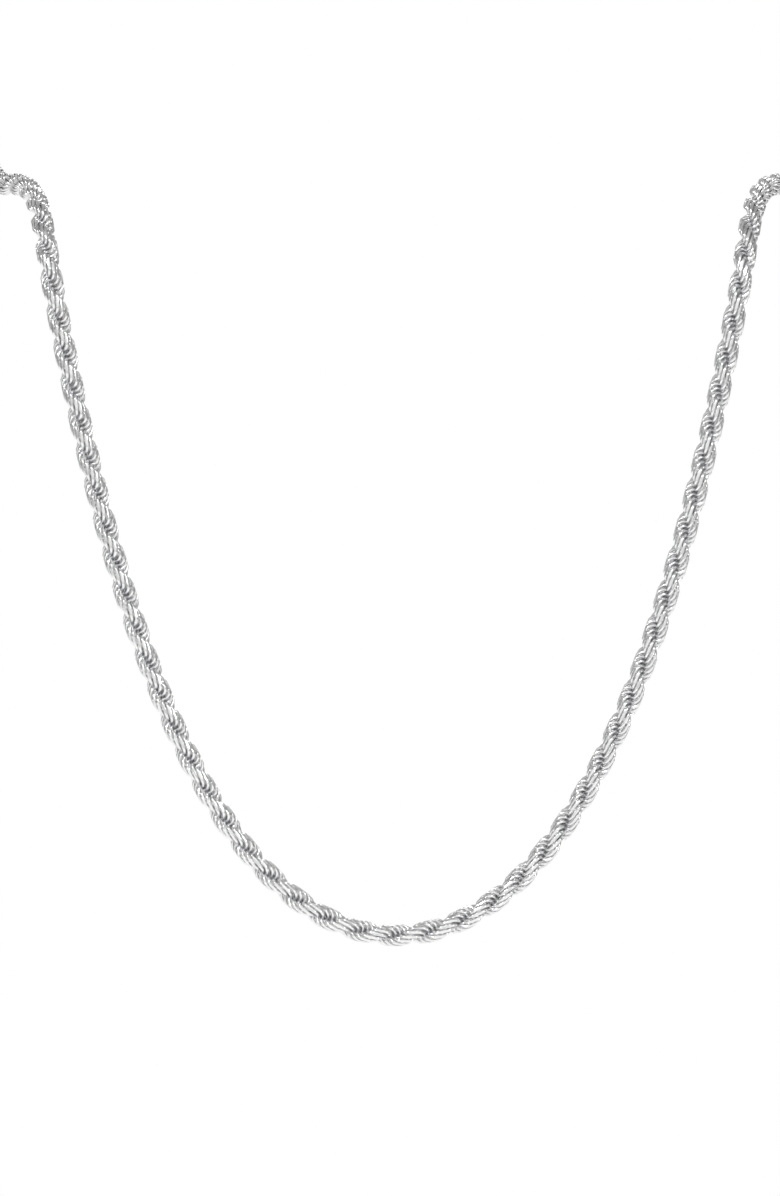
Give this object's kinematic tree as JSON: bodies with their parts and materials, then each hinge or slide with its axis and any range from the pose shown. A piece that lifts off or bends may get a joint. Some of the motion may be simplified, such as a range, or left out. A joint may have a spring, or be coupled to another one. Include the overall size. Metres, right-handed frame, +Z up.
{
  "type": "chain necklace",
  "caption": "Silver rope-chain necklace hanging as worn, with soldered end caps, jump ring, end ring and a lobster clasp at the nape.",
  "frame": {"origin": "middle of the neck opening, on the neck's axis, level with the top of the front drape", "axes": "+Z up along the neck, -Y towards the front drape, +X to the right as seen from the front"},
  "size_m": [0.1174, 0.1056, 0.141],
  "materials": {
    "rope_silver": "polished silver with shaved, diamond-cut faces",
    "hardware_silver": "polished silver",
    "spring_steel": "drawn wire"
  },
  "bodies": {
    "back_of_chain": {"links_right_17": "rope_silver", "links_right_18": "rope_silver", "links_right_19": "rope_silver", "links_right_20": "rope_silver", "links_right_21": "rope_silver", "links_right_22": "rope_silver", "links_right_23": "rope_silver", "links_right_24": "rope_silver", "links_right_25": "rope_silver", "links_left_17": "rope_silver", "links_left_18": "rope_silver", "links_left_19": "rope_silver", "links_left_20": "rope_silver", "links_left_21": "rope_silver", "links_left_22": "rope_silver", "links_left_23": "rope_silver", "links_left_24": "rope_silver", "links_left_25": "rope_silver", "end_cap_right": "hardware_silver", "end_cap_left": "hardware_silver"},
    "run_right_16": {"links_right_16": "rope_silver"},
    "run_right_15": {"links_right_15": "rope_silver"},
    "run_right_14": {"links_right_14": "rope_silver"},
    "run_right_13": {"links_right_13": "rope_silver"},
    "run_right_12": {"links_right_12": "rope_silver"},
    "run_right_11": {"links_right_11": "rope_silver"},
    "run_right_10": {"links_right_10": "rope_silver"},
    "run_right_09": {"links_right_09": "rope_silver"},
    "run_right_08": {"links_right_08": "rope_silver"},
    "run_right_07": {"links_right_07": "rope_silver"},
    "run_right_06": {"links_right_06": "rope_silver"},
    "run_right_05": {"links_right_05": "rope_silver"},
    "run_right_04": {"links_right_04": "rope_silver"},
    "run_right_03": {"links_right_03": "rope_silver"},
    "run_right_02": {"links_right_02": "rope_silver"},
    "run_right_01": {"links_right_01": "rope_silver", "links_front": "rope_silver"},
    "run_left_16": {"links_left_16": "rope_silver"},
    "run_left_15": {"links_left_15": "rope_silver"},
    "run_left_14": {"links_left_14": "rope_silver"},
    "run_left_13": {"links_left_13": "rope_silver"},
    "run_left_12": {"links_left_12": "rope_silver"},
    "run_left_11": {"links_left_11": "rope_silver"},
    "run_left_10": {"links_left_10": "rope_silver"},
    "run_left_09": {"links_left_09": "rope_silver"},
    "run_left_08": {"links_left_08": "rope_silver"},
    "run_left_07": {"links_left_07": "rope_silver"},
    "run_left_06": {"links_left_06": "rope_silver"},
    "run_left_05": {"links_left_05": "rope_silver"},
    "run_left_04": {"links_left_04": "rope_silver"},
    "run_left_03": {"links_left_03": "rope_silver"},
    "run_left_02": {"links_left_02": "rope_silver"},
    "run_left_01": {"links_left_01": "rope_silver"},
    "jump_ring": {"jump_ring": "hardware_silver"},
    "clasp": {"clasp_body": "hardware_silver", "clasp_rivet": "hardware_silver", "clasp_spring": "spring_steel"},
    "clasp_lever": {"clasp_lever": "hardware_silver"},
    "end_ring": {"end_ring": "hardware_silver"}
  },
  "joints": [
    {"name": "shoulder_01_right", "type": "hinge", "parent": "back_of_chain", "child": "run_right_16", "pos_m": [0.05709, -0.00347, 0.01677], "axis": [-1, 0, 0], "range_deg": [0, 12]},
    {"name": "shoulder_01_left", "type": "hinge", "parent": "back_of_chain", "child": "run_left_16", "pos_m": [-0.05709, -0.00347, 0.01677], "axis": [-1, 0, 0], "range_deg": [0, 12]},
    {"name": "shoulder_02_right", "type": "hinge", "parent": "run_right_16", "child": "run_right_15", "pos_m": [0.05626, -0.01035, 0.01045], "axis": [-1, 0, 0], "range_deg": [0, 12]},
    {"name": "shoulder_02_left", "type": "hinge", "parent": "run_left_16", "child": "run_left_15", "pos_m": [-0.05626, -0.01035, 0.01045], "axis": [-1, 0, 0], "range_deg": [0, 12]},
    {"name": "shoulder_03_right", "type": "hinge", "parent": "run_right_15", "child": "run_right_14", "pos_m": [0.0543, -0.01798, 0.00543], "axis": [-1, 0, 0], "range_deg": [0, 12]},
    {"name": "shoulder_03_left", "type": "hinge", "parent": "run_left_15", "child": "run_left_14", "pos_m": [-0.0543, -0.01798, 0.00543], "axis": [-1, 0, 0], "range_deg": [0, 12]},
    {"name": "shoulder_04_right", "type": "hinge", "parent": "run_right_14", "child": "run_right_13", "pos_m": [0.05088, -0.02648, 0.0039], "axis": [-1, 0, 0], "range_deg": [0, 12]},
    {"name": "shoulder_04_left", "type": "hinge", "parent": "run_left_14", "child": "run_left_13", "pos_m": [-0.05088, -0.02648, 0.0039], "axis": [-1, 0, 0], "range_deg": [0, 12]},
    {"name": "shoulder_05_right", "type": "hinge", "parent": "run_right_13", "child": "run_right_12", "pos_m": [0.0482, -0.03517, 0.0018], "axis": [-1, 0, 0], "range_deg": [0, 12]},
    {"name": "shoulder_05_left", "type": "hinge", "parent": "run_left_13", "child": "run_left_12", "pos_m": [-0.0482, -0.03517, 0.0018], "axis": [-1, 0, 0], "range_deg": [0, 12]},
    {"name": "shoulder_06_right", "type": "hinge", "parent": "run_right_12", "child": "run_right_11", "pos_m": [0.04657, -0.04232, -0.00387], "axis": [-1, 0, 0], "range_deg": [0, 12]},
    {"name": "shoulder_06_left", "type": "hinge", "parent": "run_left_12", "child": "run_left_11", "pos_m": [-0.04657, -0.04232, -0.00387], "axis": [-1, 0, 0], "range_deg": [0, 12]},
    {"name": "drape_01_right", "type": "hinge", "parent": "run_right_11", "child": "run_right_10", "pos_m": [0.04505, -0.045, -0.01259], "axis": [1, 0, 0], "range_deg": [-28, 28]},
    {"name": "drape_01_left", "type": "hinge", "parent": "run_left_11", "child": "run_left_10", "pos_m": [-0.04505, -0.045, -0.01259], "axis": [1, 0, 0], "range_deg": [-28, 28]},
    {"name": "drape_02_right", "type": "hinge", "parent": "run_right_10", "child": "run_right_09", "pos_m": [0.04323, -0.045, -0.02179], "axis": [-1, 0, 0], "range_deg": [-28, 28]},
    {"name": "drape_02_left", "type": "hinge", "parent": "run_left_10", "child": "run_left_09", "pos_m": [-0.04323, -0.045, -0.02179], "axis": [-1, 0, 0], "range_deg": [-28, 28]},
    {"name": "drape_03_right", "type": "hinge", "parent": "run_right_09", "child": "run_right_08", "pos_m": [0.04122, -0.045, -0.03095], "axis": [1, 0, 0], "range_deg": [-28, 28]},
    {"name": "drape_03_left", "type": "hinge", "parent": "run_left_09", "child": "run_left_08", "pos_m": [-0.04122, -0.045, -0.03095], "axis": [1, 0, 0], "range_deg": [-28, 28]},
    {"name": "drape_04_right", "type": "hinge", "parent": "run_right_08", "child": "run_right_07", "pos_m": [0.03898, -0.045, -0.04006], "axis": [-1, 0, 0], "range_deg": [-28, 28]},
    {"name": "drape_04_left", "type": "hinge", "parent": "run_left_08", "child": "run_left_07", "pos_m": [-0.03898, -0.045, -0.04006], "axis": [-1, 0, 0], "range_deg": [-28, 28]},
    {"name": "drape_05_right", "type": "hinge", "parent": "run_right_07", "child": "run_right_06", "pos_m": [0.03645, -0.045, -0.0491], "axis": [1, 0, 0], "range_deg": [-28, 28]},
    {"name": "drape_05_left", "type": "hinge", "parent": "run_left_07", "child": "run_left_06", "pos_m": [-0.03645, -0.045, -0.0491], "axis": [1, 0, 0], "range_deg": [-28, 28]},
    {"name": "drape_06_right", "type": "hinge", "parent": "run_right_06", "child": "run_right_05", "pos_m": [0.03356, -0.045, -0.05802], "axis": [-1, 0, 0], "range_deg": [-28, 28]},
    {"name": "drape_06_left", "type": "hinge", "parent": "run_left_06", "child": "run_left_05", "pos_m": [-0.03356, -0.045, -0.05802], "axis": [-1, 0, 0], "range_deg": [-28, 28]},
    {"name": "drape_07_right", "type": "hinge", "parent": "run_right_05", "child": "run_right_04", "pos_m": [0.03017, -0.045, -0.06676], "axis": [1, 0, 0], "range_deg": [-28, 28]},
    {"name": "drape_07_left", "type": "hinge", "parent": "run_left_05", "child": "run_left_04", "pos_m": [-0.03017, -0.045, -0.06676], "axis": [1, 0, 0], "range_deg": [-28, 28]},
    {"name": "drape_08_right", "type": "hinge", "parent": "run_right_04", "child": "run_right_03", "pos_m": [0.02613, -0.045, -0.07522], "axis": [-1, 0, 0], "range_deg": [-28, 28]},
    {"name": "drape_08_left", "type": "hinge", "parent": "run_left_04", "child": "run_left_03", "pos_m": [-0.02613, -0.045, -0.07522], "axis": [-1, 0, 0], "range_deg": [-28, 28]},
    {"name": "drape_09_right", "type": "hinge", "parent": "run_right_03", "child": "run_right_02", "pos_m": [0.02115, -0.045, -0.08316], "axis": [1, 0, 0], "range_deg": [-28, 28]},
    {"name": "drape_09_left", "type": "hinge", "parent": "run_left_03", "child": "run_left_02", "pos_m": [-0.02115, -0.045, -0.08316], "axis": [1, 0, 0], "range_deg": [-28, 28]},
    {"name": "drape_10_right", "type": "hinge", "parent": "run_right_02", "child": "run_right_01", "pos_m": [0.01485, -0.045, -0.09009], "axis": [-1, 0, 0], "range_deg": [-28, 28]},
    {"name": "drape_10_left", "type": "hinge", "parent": "run_left_02", "child": "run_left_01", "pos_m": [-0.01485, -0.045, -0.09009], "axis": [-1, 0, 0], "range_deg": [-28, 28]},
    {"name": "clasp_lever_press", "type": "hinge", "parent": "clasp", "child": "clasp_lever", "pos_m": [-0.00237, 0.05653, 0.04075], "axis": [0, 1, 0], "range_deg": [0, 24], "stiffness_Nm_per_rad": 0.01, "springref_deg": -11.46},
    {"name": "clasp_roll", "type": "hinge", "parent": "jump_ring", "child": "clasp", "pos_m": [-0.00608, 0.05653, 0.04], "axis": [1, 0, 0], "range_deg": [-15, 15]},
    {"name": "jump_ring_roll", "type": "hinge", "parent": "back_of_chain", "child": "jump_ring", "pos_m": [-0.00988, 0.05653, 0.04], "axis": [1, 0, 0], "range_deg": [-20, 20]},
    {"name": "end_ring_roll", "type": "hinge", "parent": "back_of_chain", "child": "end_ring", "pos_m": [0.00988, 0.05653, 0.04], "axis": [1, 0, 0], "range_deg": [-20, 20]}
  ],
  "couplings": [
    {"joint": "shoulder_01_left", "follows": "shoulder_01_right", "ratio": 1},
    {"joint": "shoulder_02_left", "follows": "shoulder_02_right", "ratio": 1},
    {"joint": "shoulder_03_left", "follows": "shoulder_03_right", "ratio": 1},
    {"joint": "shoulder_04_left", "follows": "shoulder_04_right", "ratio": 1},
    {"joint": "shoulder_05_left", "follows": "shoulder_05_right", "ratio": 1},
    {"joint": "shoulder_06_left", "follows": "shoulder_06_right", "ratio": 1},
    {"joint": "drape_01_left", "follows": "drape_01_right", "ratio": 1},
    {"joint": "drape_02_left", "follows": "drape_02_right", "ratio": 1},
    {"joint": "drape_03_left", "follows": "drape_03_right", "ratio": 1},
    {"joint": "drape_04_left", "follows": "drape_04_right", "ratio": 1},
    {"joint": "drape_05_left", "follows": "drape_05_right", "ratio": 1},
    {"joint": "drape_06_left", "follows": "drape_06_right", "ratio": 1},
    {"joint": "drape_07_left", "follows": "drape_07_right", "ratio": 1},
    {"joint": "drape_08_left", "follows": "drape_08_right", "ratio": 1},
    {"joint": "drape_09_left", "follows": "drape_09_right", "ratio": 1},
    {"joint": "drape_10_left", "follows": "drape_10_right", "ratio": 1}
  ]
}
